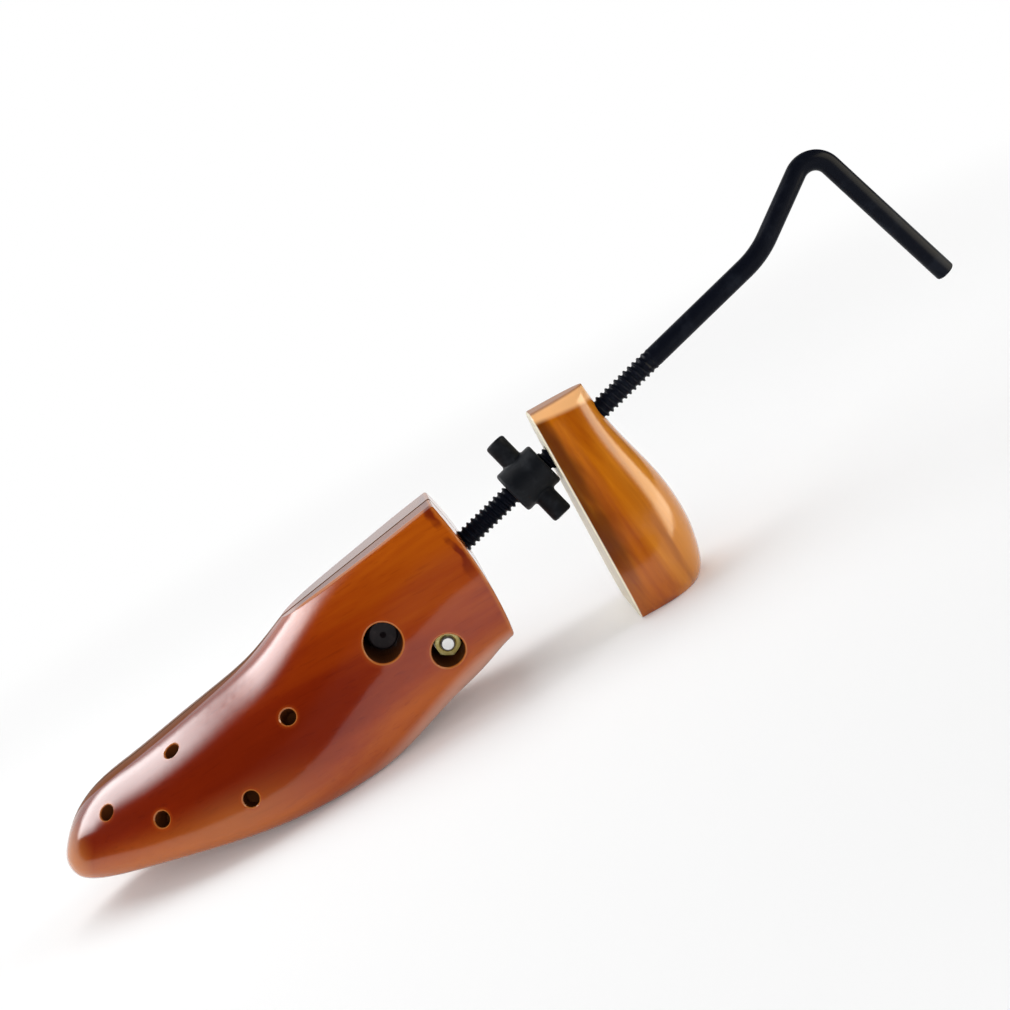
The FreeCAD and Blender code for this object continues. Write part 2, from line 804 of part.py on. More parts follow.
def heel_block():
    block = Part.makeLoft([heel_section(*row) for row in heel_section_shares], True, False)
    block = block.makeFillet(heel_edge_round, heel_outer_edges(block))
    radius = thread_diameter / 2 + heel_bore_clearance
    rod = Part.makeCylinder(radius, heel_depth + 2 * overrun, vec(hub_rear - overrun, 0, 0), along_x)
    return block.cut(to_spindle(rod))


def main():
    os.makedirs("parts", exist_ok=True)
    half, plate, screws = toe_half_far(), ramp_plate_far(), ramp_screws_far()
    washer, spring = hinge_washer_far(), hinge_spring_far()
    pieces = {
        "toe_half_near": mirrored(half),
        "toe_half_far": half,
        "ramp_plate_near": mirrored(plate),
        "ramp_plate_far": plate,
        "ramp_screws_near": mirrored(screws),
        "ramp_screws_far": screws,
        "barrel_nut": barrel_nut(),
        "hinge_bolt": hinge_bolt(),
        "hinge_nut": hinge_nut(),
        "hinge_washer_near": mirrored(washer),
        "hinge_washer_far": washer,
        "hinge_spring_near": mirrored(spring),
        "hinge_spring_far": spring,
        "spreader_wedge": spreader_wedge(),
        "wedge_pin": wedge_pin(),
        "crank_spindle": crank_spindle(),
        "length_nut": length_nut(),
        "heel_block": heel_block(),
    }
    to_middle = vec(-overall_length() / 2, 0, 0)
    for node, shape in pieces.items():
        placed = shape.copy()
        placed.translate(to_middle)
        placed.exportStep("parts/%s.step" % node)
        print("%s: %d solid(s), %.0f mm3" % (node, len(placed.Solids), placed.Volume))
    print_spring_gap()


if __name__ == "__main__":
    main()
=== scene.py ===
import bpy
import bmesh
import json
import math
from mathutils import Matrix, Vector

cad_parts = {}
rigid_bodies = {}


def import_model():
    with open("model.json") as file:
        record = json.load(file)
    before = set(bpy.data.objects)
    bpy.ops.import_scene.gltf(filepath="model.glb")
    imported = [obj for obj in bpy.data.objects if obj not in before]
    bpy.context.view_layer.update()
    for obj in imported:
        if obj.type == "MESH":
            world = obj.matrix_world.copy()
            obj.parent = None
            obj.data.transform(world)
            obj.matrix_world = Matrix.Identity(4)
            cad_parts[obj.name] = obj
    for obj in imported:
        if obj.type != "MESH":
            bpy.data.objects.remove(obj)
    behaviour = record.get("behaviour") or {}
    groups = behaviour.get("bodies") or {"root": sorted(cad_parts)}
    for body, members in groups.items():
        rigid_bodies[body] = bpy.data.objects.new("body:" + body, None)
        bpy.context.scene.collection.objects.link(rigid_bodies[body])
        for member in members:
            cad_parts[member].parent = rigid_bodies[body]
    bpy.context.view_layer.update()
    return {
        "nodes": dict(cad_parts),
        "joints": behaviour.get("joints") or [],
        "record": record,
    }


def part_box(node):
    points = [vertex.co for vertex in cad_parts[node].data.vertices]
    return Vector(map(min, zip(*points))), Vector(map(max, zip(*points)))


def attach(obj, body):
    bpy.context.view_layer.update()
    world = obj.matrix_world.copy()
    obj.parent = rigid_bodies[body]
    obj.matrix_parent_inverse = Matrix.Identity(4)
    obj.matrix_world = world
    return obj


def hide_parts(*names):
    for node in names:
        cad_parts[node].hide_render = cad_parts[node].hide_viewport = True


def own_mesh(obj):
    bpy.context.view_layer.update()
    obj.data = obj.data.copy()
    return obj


# whatever the startup file holds would count as a piece
for leftover in list(bpy.data.objects):
    bpy.data.objects.remove(leftover)

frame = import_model()
nodes = frame["nodes"]
joints = {joint["name"]: joint for joint in frame["joints"]}
mounts = {mount["name"]: mount for mount in frame["record"]["mounts"]}
mm = 0.001
white = (1.0, 1.0, 1.0)
print("frame loaded with", len(nodes), "nodes")


# Small helpers for node trees

def addNode(tree, kind, **settings):
    node = tree.nodes.new(kind)
    for name, value in settings.items():
        setattr(node, name, value)
    return node


def feed(tree, socket, value):  # a socket is linked, anything else is typed in
    if isinstance(value, bpy.types.NodeSocket):
        tree.links.new(value, socket)
    else:
        socket.default_value = value


def feedAll(tree, node, settings):
    for name, value in settings.items():
        feed(tree, node.inputs[name], value)


def calc(tree, operation, *values, clamp=False):
    node = addNode(tree, "ShaderNodeMath", operation=operation, use_clamp=clamp)
    for socket, value in zip(node.inputs, values):
        feed(tree, socket, value)
    return node.outputs[0]


def times(tree, value, *others):
    for other in others:
        value = calc(tree, "MULTIPLY", value, other)
    return value


def most(tree, value, *others):
    for other in others:
        value = calc(tree, "MAXIMUM", value, other)
    return value


def swing(tree, noise, amount, base, clamp=False):  # base, moved up and down by the noise
    return calc(tree, "MULTIPLY_ADD", calc(tree, "SUBTRACT", noise, 0.5), amount, base, clamp=clamp)


def vectorCalc(tree, operation, *values):
    node = addNode(tree, "ShaderNodeVectorMath", operation=operation)
    for socket, value in zip(node.inputs, values):
        feed(tree, socket, value)
    return node.outputs["Value" if operation in ("DOT_PRODUCT", "LENGTH") else "Vector"]


def scaled(tree, vector, factor):
    node = addNode(tree, "ShaderNodeVectorMath", operation="SCALE")
    feed(tree, node.inputs[0], vector)
    feed(tree, node.inputs["Scale"], factor)
    return node.outputs["Vector"]


def ease(tree, value, low, high, start=0.0, end=1.0):
    node = addNode(tree, "ShaderNodeMapRange", interpolation_type="SMOOTHSTEP")
    feedAll(tree, node, {"Value": value, "From Min": low, "From Max": high, "To Min": start, "To Max": end})
    return node.outputs["Result"]


def fade(tree, value, low, high):  # 1 below low, 0 above high
    return ease(tree, value, low, high, 1.0, 0.0)


def band(tree, value, low, high, soft):  # 1 between low and high, fading over soft at both sides
    rise = ease(tree, value, low - soft, low + soft)
    return times(tree, rise, fade(tree, value, high - soft, high + soft))


def paint(tree, amount, under, over, blend="MIX"):
    node = addNode(tree, "ShaderNodeMix", data_type="RGBA", blend_type=blend)
    feed(tree, node.inputs[0], amount)
    for socket, colour in zip(node.inputs[6:8], (under, over)):  # the two colour sockets
        feed(tree, socket, colour if isinstance(colour, bpy.types.NodeSocket) else (*colour, 1.0))
    return node.outputs[2]


def layer(tree, mask, under, look, blend="MIX"):  # a look's colour, as strong as its amount
    return paint(tree, times(tree, mask, look["amount"]), under, look["colour"], blend)


def streaky(tree, streak, look):  # a look's colour, darker where the streak is low
    return paint(tree, streak, [look["dark"] * channel for channel in look["colour"]], look["colour"])


def cloud(tree, place, scale=1.0, detail=3.0, rough=0.55, warp=0.0):
    node = addNode(tree, "ShaderNodeTexNoise")
    feedAll(tree, node, {
        "Vector": place, "Scale": scale, "Detail": detail, "Roughness": rough, "Distortion": warp})
    return node.outputs["Fac"]


def stretched(tree, place, scale=(1.0, 1.0, 1.0), turn=(0.0, 0.0, 0.0), shift=(0.0, 0.0, 0.0)):
    node = addNode(tree, "ShaderNodeMapping")
    feedAll(tree, node, {"Vector": place, "Scale": scale, "Rotation": turn, "Location": shift})
    return node.outputs["Vector"]


def ramp(tree, value, stops):
    node = addNode(tree, "ShaderNodeValToRGB")
    feed(tree, node.inputs["Fac"], value)
    elements = node.color_ramp.elements
    elements[0].position, elements[0].color = stops[0][0], (*stops[0][1], 1.0)
    elements[1].position, elements[1].color = stops[-1][0], (*stops[-1][1], 1.0)
    for position, colour in stops[1:-1]:
        elements.new(position).color = (*colour, 1.0)
    return node.outputs["Color"]


def split(tree, place):
    node = addNode(tree, "ShaderNodeSeparateXYZ")
    feed(tree, node.inputs[0], place)
    return node.outputs


def newGroup(name, takes, gives):
    tree = bpy.data.node_groups.new(name, "ShaderNodeTree")
    for label, kind, value in takes:
        socket = tree.interface.new_socket(label, in_out="INPUT", socket_type="NodeSocket" + kind)
        if value is not None:
            socket.default_value = value
    for label, kind in gives:
        tree.interface.new_socket(label, in_out="OUTPUT", socket_type="NodeSocket" + kind)
    taken = addNode(tree, "NodeGroupInput").outputs
    given = addNode(tree, "NodeGroupOutput").inputs
    return tree, taken, given


def useGroup(tree, group, settings):
    node = addNode(tree, "ShaderNodeGroup", node_tree=group)
    feedAll(tree, node, settings)
    return node.outputs


def newMaterial(name, fixed):
    material = bpy.data.materials.new(name)
    material.use_nodes = True
    tree = material.node_tree
    tree.nodes.clear()
    shader = addNode(tree, "ShaderNodeBsdfPrincipled")
    for label, value in fixed.items():
        shader.inputs[label].default_value = value
    output = addNode(tree, "ShaderNodeOutputMaterial")
    tree.links.new(shader.outputs[0], output.inputs["Surface"])
    place = addNode(tree, "ShaderNodeTexCoord").outputs["Object"]
    return material, tree, shader.inputs, place


def bump(tree, shader, height, distance, strength):
    node = addNode(tree, "ShaderNodeBump")
    feedAll(tree, node, {"Height": height, "Distance": distance, "Strength": strength})
    tree.links.new(node.outputs["Normal"], shader["Normal"])


# Effects that several finishes share

effects = {
    "poreScale": 5.0,
    "pore": (0.60, 0.74),
    "haze": 55.0,
    "orangePeel": 420.0,
    "peelHeight": 0.25,
    "slowWave": 70.0,
    "streakHeight": 0.35,
    "holeEnd": 1.1,
    "rim": (0.05, 0.95, 0.22),
    "inside": (-0.05, 0.12),
    "ring": (0.6, 3.6),
    "fineSize": 9.0,
    "smudge": (0.45, 0.75),
    "speck": (0.60, 0.72),
    "wideHeight": 0.6,
}


def makeWoodGrain():
    tree, taken, given = newGroup(
        "woodGrain",
        [("Vector", "Vector", None), ("Fibre", "Vector", (10, 150, 150)), ("Figure", "Vector", (6, 40, 40))],
        [("Streak", "Float"), ("Figure", "Float"), ("Pore", "Float")])
    fibre = vectorCalc(tree, "MULTIPLY", taken["Vector"], taken["Fibre"])
    feed(tree, given["Streak"], cloud(tree, fibre, detail=4.0, rough=0.62))
    broad = vectorCalc(tree, "MULTIPLY", taken["Vector"], taken["Figure"])
    feed(tree, given["Figure"], cloud(tree, broad, rough=0.5, warp=0.6))
    dashes = cloud(tree, scaled(tree, fibre, effects["poreScale"]), detail=1.0, rough=0.4)
    feed(tree, given["Pore"], ease(tree, dashes, *effects["pore"]))
    return tree


def makeLacquerSkin():
    tree, taken, given = newGroup(
        "lacquerSkin",
        [("Vector", "Vector", None), ("Polish", "Float", 0.25), ("Scuff", "Float", 0.08),
         ("Streak", "Float", 0.5)],
        [("Roughness", "Float"), ("Height", "Float")])
    haze = cloud(tree, taken["Vector"], effects["haze"], detail=4.0, rough=0.6)
    feed(tree, given["Roughness"], swing(tree, haze, taken["Scuff"], taken["Polish"], clamp=True))
    orangePeel = cloud(tree, taken["Vector"], effects["orangePeel"], detail=2.0, rough=0.5)
    slowWave = cloud(tree, taken["Vector"], effects["slowWave"], detail=2.0, rough=0.5)
    lift = calc(tree, "MULTIPLY_ADD", orangePeel, effects["peelHeight"], slowWave)
    feed(tree, given["Height"], calc(tree, "MULTIPLY_ADD", taken["Streak"], effects["streakHeight"], lift))
    return tree


def makeDrilledHole():
    tree, taken, given = newGroup(
        "drilledHole",
        [("Vector", "Vector", None), ("Centre", "Vector", (0, 0, 0)), ("Axis", "Vector", (0, 1, 0)),
         ("Radius", "Float", 0.0033), ("Rim", "Float", 0.0008), ("Depth", "Float", 0.014)],
        [("Rim", "Float"), ("Inside", "Float"), ("Ring", "Float")])
    reach = vectorCalc(tree, "SUBTRACT", taken["Vector"], taken["Centre"])
    along = vectorCalc(tree, "DOT_PRODUCT", reach, taken["Axis"])
    across = vectorCalc(tree, "SUBTRACT", reach, scaled(tree, taken["Axis"], along))
    beyond = calc(tree, "SUBTRACT", vectorCalc(tree, "LENGTH", across), taken["Radius"])
    share = calc(tree, "DIVIDE", beyond, taken["Rim"])
    end = times(tree, taken["Depth"], effects["holeEnd"])
    near = fade(tree, calc(tree, "ABSOLUTE", along), taken["Depth"], end)
    feed(tree, given["Rim"], times(tree, band(tree, share, *effects["rim"]), near))
    feed(tree, given["Inside"], times(tree, fade(tree, share, *effects["inside"]), near))
    feed(tree, given["Ring"], times(tree, fade(tree, share, *effects["ring"]), near))
    return tree


def makeMetalSkin():
    tree, taken, given = newGroup(
        "metalSkin",
        [("Vector", "Vector", None), ("Polish", "Float", 0.3), ("Spread", "Float", 0.15),
         ("Size", "Float", 120.0)],
        [("Smudge", "Float"), ("Speck", "Float"), ("Roughness", "Float"), ("Height", "Float")])
    wide = cloud(tree, taken["Vector"], taken["Size"], detail=4.0, rough=0.6, warp=0.3)
    fine = cloud(tree, taken["Vector"], times(tree, taken["Size"], effects["fineSize"]), rough=0.6)
    feed(tree, given["Smudge"], ease(tree, wide, *effects["smudge"]))
    feed(tree, given["Speck"], ease(tree, fine, *effects["speck"]))
    feed(tree, given["Roughness"], swing(tree, wide, taken["Spread"], taken["Polish"], clamp=True))
    feed(tree, given["Height"], calc(tree, "MULTIPLY_ADD", wide, effects["wideHeight"], fine))
    return tree


woodGrain = makeWoodGrain()
lacquerSkin = makeLacquerSkin()
drilledHole = makeDrilledHole()
metalSkin = makeMetalSkin()
print("shared effects built")


# Lacquer over both woods

lacquer = {
    "shader": {"Coat Roughness": 0.12, "Coat IOR": 1.5, "IOR": 1.45, "Specular IOR Level": 0.02},
    "bareRoughness": 0.4,
    "bumpDistance": 0.06 * mm,
    "bumpStrength": 0.22,
}


def addLacquer(tree, shader, place, look, streak, bare, dull):  # none where the wood is bare or dull
    skin = useGroup(tree, lacquerSkin, {
        "Vector": place, "Polish": look["polish"], "Scuff": look["scuff"], "Streak": streak})
    roughness = calc(tree, "MULTIPLY_ADD", bare, lacquer["bareRoughness"], skin["Roughness"], clamp=True)
    feed(tree, shader["Roughness"], roughness)
    feed(tree, shader["Coat Weight"], calc(tree, "SUBTRACT", 1.0, dull))
    bump(tree, shader, skin["Height"], lacquer["bumpDistance"], lacquer["bumpStrength"])


# Toe halves: red-brown lacquered wood, with places in metres

toeWood = {
    "fibre": (14.0, 190.0, 190.0),
    "figure": (7.0, 42.0, 46.0),
    "tones": [(0.0, (0.140, 0.009, 0.0005)), (0.3, (0.180, 0.013, 0.0005)),
              (0.6, (0.27, 0.031, 0.0005)), (1.0, (0.44, 0.088, 0.002))],
    "tone": {"base": 0.10, "high": 0.42, "back": 0.38, "lower": 0.62, "figure": 0.50, "streak": 0.38},
    "toneAt": {"high": (0.030, 0.075), "back": (-0.14, -0.01), "front": (-0.20, -0.10)},
    # painted light from the floor: the line along the sole below which the tone is lifted
    "lowerLine": {"base": 0.020, "back": 0.010, "front": 0.006, "soft": (-0.014, 0.010)},
    "pore": {"colour": (0.70, 0.60, 0.50), "amount": 0.4},
    # painted reflection: the flat top darkened to blue-grey, and its near edge painted orange-brown and dull
    "paintedFlatTop": {"colour": (0.30, 0.30, 0.40), "amount": 0.75, "facing": (0.90, 0.97),
                "from": (-0.088, -0.080), "nearSide": (-0.0010, 0.0), "nearDull": (0.50, 0.0)},
    "paintedNearEdge": {"colour": (0.44, 0.115, 0.012), "along": (-0.092, -0.040),
                  "halfWidth": (0.0125, 0.0183), "depth": (0.0040, 0.0085)},
    # painted reflection of the floor along the sole's rear edge
    "paintedLowReflection": {"colour": (0.66, 0.40, 0.31), "amount": 0.6, "from": (-0.115, -0.055),
                "along": (-0.095, -0.012), "sole": (0.0, 0.0195), "depth": (0.0, 0.0065)},
    # painted light: tan on the tip, along the low edge and on the rear edge
    "tan": {"colour": (0.52, 0.17, 0.032), "amount": 0.9, "tip": (-0.2185, -0.200),
            "lowAlong": (-0.15, -0.09), "lowHeight": (0.014, 0.031), "lowAmount": 0.5},
    "rear": {"centre": (-182.33 * mm, 42.0 * mm), "radius": 172.0 * mm,
             "edge": (0.0006, 0.0020), "edgeHighlightAmount": 0.45},
    "varnish": {"colour": (0.13, 0.008, 0.002), "amount": 0.85, "waves": 85.0, "wander": 0.011,
                "inset": (0.0012, 0.0046), "soft": 0.0007, "patches": 60.0, "patchAt": (0.30, 0.46),
                "height": (0.046, 0.062)},
    # painted shade: a dull brown strip along the top of the cut
    "paintedCutShade": {"colour": (0.19, 0.047, 0.006), "dark": 0.7, "start": (-0.2165, -0.185),
             "end": (-0.155, -0.082), "width": (0.0075, 0.0), "cut": 0.0005,
             "soft": (-0.0006, 0.0002), "facing": (0.3, 0.5)},
    "plugHole": {"rim": 0.6 * mm, "depth": 13.5 * mm},
    "crossHole": {"rim": 0.8 * mm, "depth": 30.0 * mm, "side": 30.0 * mm},
    "crossPlaces": ((-58.7 * mm, 46.6 * mm, 7.84 * mm), (-37.8 * mm, 30.6 * mm, 6.89 * mm)),
    "ring": {"colour": (0.31, 0.045, 0.002), "amount": 0.5},
    "rim": {"colour": (0.46, 0.16, 0.035), "amount": 0.65},
    # painted shade: the bare wood inside the holes is darkened
    "bore": {"colour": (0.115, 0.036, 0.011), "dark": 0.35},
    "sawn": {"colour": (0.15, 0.062, 0.024), "dark": 0.7, "depth": (0.0008, 0.0014),
             "marks": (900.0, 1.0, 60.0), "turn": (0.0, 0.2, 0.0)},
    "polish": 0.24,
    "scuff": 0.10,
}


def makeToeWood():
    look = toeWood
    material, tree, shader, place = newMaterial("toeWood", lacquer["shader"])
    spot = split(tree, place)
    side = calc(tree, "ABSOLUTE", spot["Y"])
    folded = addNode(tree, "ShaderNodeCombineXYZ")
    feedAll(tree, folded, {"X": spot["X"], "Y": side, "Z": spot["Z"]})
    facing = split(tree, addNode(tree, "ShaderNodeNewGeometry").outputs["Normal"])
    grain = useGroup(tree, woodGrain, {"Vector": place, "Fibre": look["fibre"], "Figure": look["figure"]})

    # dark red along the middle and orange-brown at the top of the rear; towards the sole the orange-brown is
    # painted light, standing in for light from the floor
    tone, toneAt, line = look["tone"], look["toneAt"], look["lowerLine"]
    high = ease(tree, spot["Z"], *toneAt["high"])
    back = ease(tree, spot["X"], *toneAt["back"])
    front = fade(tree, spot["X"], *toneAt["front"])
    lineHeight = calc(tree, "MULTIPLY_ADD", front, line["front"], line["base"])
    lineHeight = calc(tree, "MULTIPLY_ADD", back, line["back"], lineHeight)
    # painted light: below this line the tone is lifted as if lit from the floor
    lower = fade(tree, calc(tree, "SUBTRACT", spot["Z"], lineHeight), *line["soft"])
    shade = calc(tree, "MULTIPLY_ADD", back, tone["back"], tone["base"])
    shade = calc(tree, "MULTIPLY_ADD", high, tone["high"], shade)
    shade = calc(tree, "MULTIPLY_ADD", lower, tone["lower"], shade)
    shade = swing(tree, grain["Figure"], tone["figure"], shade)
    shade = swing(tree, grain["Streak"], tone["streak"], shade, clamp=True)
    colour = ramp(tree, shade, look["tones"])
    colour = layer(tree, grain["Pore"], colour, look["pore"], "MULTIPLY")

    # the flat top is painted darker and blue-grey, a painted reflection; its near edge is painted
    # orange-brown and dull, a painted stand-in for how a rounded edge reflects
    paintedFlatTop, nearEdgeLook = look["paintedFlatTop"], look["paintedNearEdge"]
    flat = times(tree, ease(tree, facing["Z"], *paintedFlatTop["facing"]), ease(tree, spot["X"], *paintedFlatTop["from"]))
    colour = layer(tree, flat, colour, paintedFlatTop, "MULTIPLY")
    halfWidth = ease(tree, spot["X"], *nearEdgeLook["along"], *nearEdgeLook["halfWidth"])
    fromEdge = calc(tree, "ADD", halfWidth, spot["Y"])
    paintedNearEdge = times(tree, fade(tree, fromEdge, *nearEdgeLook["depth"]), flat)
    colour = paint(tree, paintedNearEdge, colour, nearEdgeLook["colour"])

    # the sole's rear edge is painted pale pink, a painted reflection of the floor
    lowReflectionLook = look["paintedLowReflection"]
    sole = ease(tree, spot["X"], *lowReflectionLook["along"], *lowReflectionLook["sole"])
    fromSole = calc(tree, "SUBTRACT", spot["Z"], sole)
    paintedLowReflection = times(tree, fade(tree, fromSole, *lowReflectionLook["depth"]), ease(tree, spot["X"], *lowReflectionLook["from"]))
    colour = layer(tree, paintedLowReflection, colour, lowReflectionLook)

    # the tip is painted tan, a painted reflection, and the low edge behind it is painted tan too, painted
    # light on its shaded underside
    tan = look["tan"]
    tip = fade(tree, spot["X"], *tan["tip"])
    lowEdge = times(tree, fade(tree, spot["X"], *tan["lowAlong"]), fade(tree, spot["Z"], *tan["lowHeight"]))
    colour = layer(tree, most(tree, tip, times(tree, lowEdge, tan["lowAmount"])), colour, tan)

    # varnish gathered in dark waves inside the rear edge; the edge itself is painted lighter, a painted
    # highlight
    rear, varnish = look["rear"], look["varnish"]
    rearX = calc(tree, "SUBTRACT", spot["X"], rear["centre"][0])
    rearZ = calc(tree, "SUBTRACT", spot["Z"], rear["centre"][1])
    reach = calc(tree, "SQRT", calc(tree, "MULTIPLY_ADD", rearX, rearX, times(tree, rearZ, rearZ)))
    inset = calc(tree, "SUBTRACT", rear["radius"], reach)
    waved = swing(tree, cloud(tree, place, varnish["waves"], rough=0.5), varnish["wander"], inset)
    patches = cloud(tree, place, varnish["patches"], detail=2.0, rough=0.5)
    gathered = times(tree, band(tree, waved, *varnish["inset"], varnish["soft"]),
                     ease(tree, patches, *varnish["patchAt"]), ease(tree, spot["Z"], *varnish["height"]))
    colour = layer(tree, gathered, colour, varnish)
    # painted highlight: the rear edge lightened towards tan
    edge = times(tree, fade(tree, inset, *rear["edge"]), rear["edgeHighlightAmount"])
    colour = paint(tree, edge, colour, tan["colour"])

    # a dull brown strip along the top of the cut, widest over the forepart: painted shade where the two
    # halves meet
    cutShadeLook = look["paintedCutShade"]
    cutShadeWidth = times(tree, ease(tree, spot["X"], *cutShadeLook["start"]),
                      ease(tree, spot["X"], *cutShadeLook["end"], *cutShadeLook["width"]))
    beyond = calc(tree, "SUBTRACT", calc(tree, "SUBTRACT", side, cutShadeLook["cut"]), cutShadeWidth)
    paintedCutShade = times(tree, fade(tree, beyond, *cutShadeLook["soft"]), ease(tree, facing["Z"], *cutShadeLook["facing"]))
    colour = paint(tree, paintedCutShade, colour, streaky(tree, grain["Streak"], cutShadeLook))

    # plug sockets, cross hole and bolt hole
    plug, cross = look["plugHole"], look["crossHole"]
    holes = [(mount["pos_m"], mount["axis"], mount["dims"]["r_mm"] * mm, plug)
             for name, mount in mounts.items() if name.startswith("socket") and name.endswith("far")]
    for holeX, holeZ, radius in look["crossPlaces"]:
        holes.append(((holeX, cross["side"], holeZ), (0.0, 1.0, 0.0), radius, cross))
    rim, inside, ring = 0.0, 0.0, 0.0
    for centre, axis, radius, size in holes:
        hole = useGroup(tree, drilledHole, {
            "Vector": folded.outputs[0], "Centre": centre, "Axis": axis,
            "Radius": radius, "Rim": size["rim"], "Depth": size["depth"]})
        rim = most(tree, hole["Rim"], rim)
        inside = most(tree, hole["Inside"], inside)
        ring = most(tree, hole["Ring"], ring)
    colour = layer(tree, ring, colour, look["ring"])
    colour = layer(tree, rim, colour, look["rim"])
    # inside the holes the bare wood is painted dark, painted shade in the recesses
    colour = paint(tree, inside, colour, streaky(tree, grain["Streak"], look["bore"]))

    # bare sawn faces of the cut
    cut = look["sawn"]
    sawn = fade(tree, side, *cut["depth"])
    sawMarks = cloud(tree, stretched(tree, place, cut["marks"], turn=cut["turn"]), detail=2.0, rough=0.5)
    colour = paint(tree, sawn, colour, streaky(tree, sawMarks, cut))
    feed(tree, shader["Base Color"], colour)
    bare = most(tree, inside, sawn)
    nearFlat = times(tree, flat, ease(tree, spot["Y"], *paintedFlatTop["nearSide"], *paintedFlatTop["nearDull"]))
    dull = most(tree, bare, paintedCutShade, paintedNearEdge, nearFlat)
    addLacquer(tree, shader, place, look, grain["Streak"], bare, dull)
    return material


# Heel block: honey-coloured wood with flame figure, with heights from its top or bottom

heelWood = {
    "fibre": (170.0, 170.0, 14.0),
    "figure": (34.0, 26.0, 6.5),
    "flame": (150.0, 60.0, 10.0),
    "lean": 7.0,
    "tones": [(0.0, (0.11, 0.020, 0.001)), (0.25, (0.24, 0.044, 0.001)), (0.5, (0.37, 0.078, 0.001)),
              (0.75, (0.50, 0.130, 0.001)), (1.0, (0.70, 0.26, 0.016))],
    "tone": {"base": 0.52, "figure": 1.1, "flame": 1.1, "streak": 0.35},
    "pore": {"colour": (0.75, 0.65, 0.55), "amount": 0.25},
    "honey": {"colour": (0.66, 0.25, 0.018), "amount": 0.75, "streaks": 0.5, "from": (0.34, 0.86)},
    "stain": {"colour": (0.085, 0.017, 0.001), "tongues": (70.0, 40.0, 17.0), "shift": (0.5, 0.0, 0.9),
              "wander": 0.034, "depth": (0.0010, 0.0110), "height": (0.008, 0.036), "amount": (0.25, 0.85)},
    # painted highlight: the paler shoulder
    "shoulder": {"colour": (0.97, 0.52, 0.22), "amount": 0.88, "slope": 0.12, "height": (-0.0046, -0.0022)},
    "crown": {"colour": (0.26, 0.095, 0.040), "amount": 0.85, "height": (-0.0009, -0.0001), "dull": 0.8},
    # painted reflection: the near-white front face
    "front": {"colour": (0.97, 0.90, 0.70), "dark": 0.7, "depth": (0.0004, 0.0009)},
    "bore": {"colour": (0.34, 0.17, 0.06), "dark": 0.5, "radius": 5.2 * mm, "rim": 0.6 * mm, "depth": 0.3},
    "polish": 0.25,
    "scuff": 0.12,
}


def makeHeelWood():
    look = heelWood
    material, tree, shader, place = newMaterial("heelWood", lacquer["shader"])
    low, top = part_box("heel_block")
    spot = split(tree, place)
    fromFront = calc(tree, "SUBTRACT", spot["X"], low.x)
    fromLow = calc(tree, "SUBTRACT", spot["Z"], low.z)
    fromTop = calc(tree, "SUBTRACT", spot["Z"], top.z)
    leaning = stretched(tree, place, turn=(0.0, math.radians(look["lean"]), 0.0))
    grain = useGroup(tree, woodGrain, {"Vector": leaning, "Fibre": look["fibre"], "Figure": look["figure"]})
    flame = cloud(tree, stretched(tree, leaning, look["flame"]), detail=2.5, warp=0.5)
    tone = look["tone"]
    shade = swing(tree, grain["Figure"], tone["figure"], tone["base"])
    shade = swing(tree, flame, tone["flame"], shade)
    shade = swing(tree, grain["Streak"], tone["streak"], shade, clamp=True)
    colour = ramp(tree, shade, look["tones"])
    colour = layer(tree, grain["Pore"], colour, look["pore"], "MULTIPLY")

    # honey-coloured towards the back, in streaks
    honey = look["honey"]
    share = calc(tree, "DIVIDE", fromFront, top.x - low.x)
    share = swing(tree, flame, honey["streaks"], share)
    colour = layer(tree, ease(tree, share, *honey["from"]), colour, honey)

    # a dark stain with flame tongues behind the front edge, weaker near the sole
    stain = look["stain"]
    tongues = cloud(tree, stretched(tree, leaning, stain["tongues"], shift=stain["shift"]), detail=2.5)
    stained = fade(tree, swing(tree, tongues, stain["wander"], fromFront), *stain["depth"])
    stained = times(tree, stained, ease(tree, fromLow, *stain["height"], *stain["amount"]))
    colour = paint(tree, stained, colour, stain["colour"])

    # a paler shoulder, a painted highlight; a dull top; and a near-white front, a painted reflection, left
    # without lacquer
    shoulder, crown, front = look["shoulder"], look["crown"], look["front"]
    sloped = calc(tree, "MULTIPLY_ADD", fromFront, shoulder["slope"], fromTop)
    colour = layer(tree, ease(tree, sloped, *shoulder["height"]), colour, shoulder)
    crowned = ease(tree, fromTop, *crown["height"])
    colour = layer(tree, crowned, colour, crown)
    # painted reflection: the front face painted near white
    paintedPaleFront = fade(tree, fromFront, *front["depth"])
    colour = paint(tree, paintedPaleFront, colour, streaky(tree, grain["Streak"], front))

    # the slanted hole for the spindle
    spindle, bore = joints["crank_turn"], look["bore"]
    inside = useGroup(tree, drilledHole, {
        "Vector": place, "Centre": spindle["pos_m"], "Axis": [-part for part in spindle["axis"]],
        "Radius": bore["radius"], "Rim": bore["rim"], "Depth": bore["depth"]})["Inside"]
    colour = paint(tree, inside, colour, streaky(tree, grain["Streak"], bore))
    feed(tree, shader["Base Color"], colour)
    dull = most(tree, times(tree, crowned, crown["dull"]), paintedPaleFront, inside)
    addLacquer(tree, shader, place, look, grain["Streak"], inside, dull)
    return material


# Metals

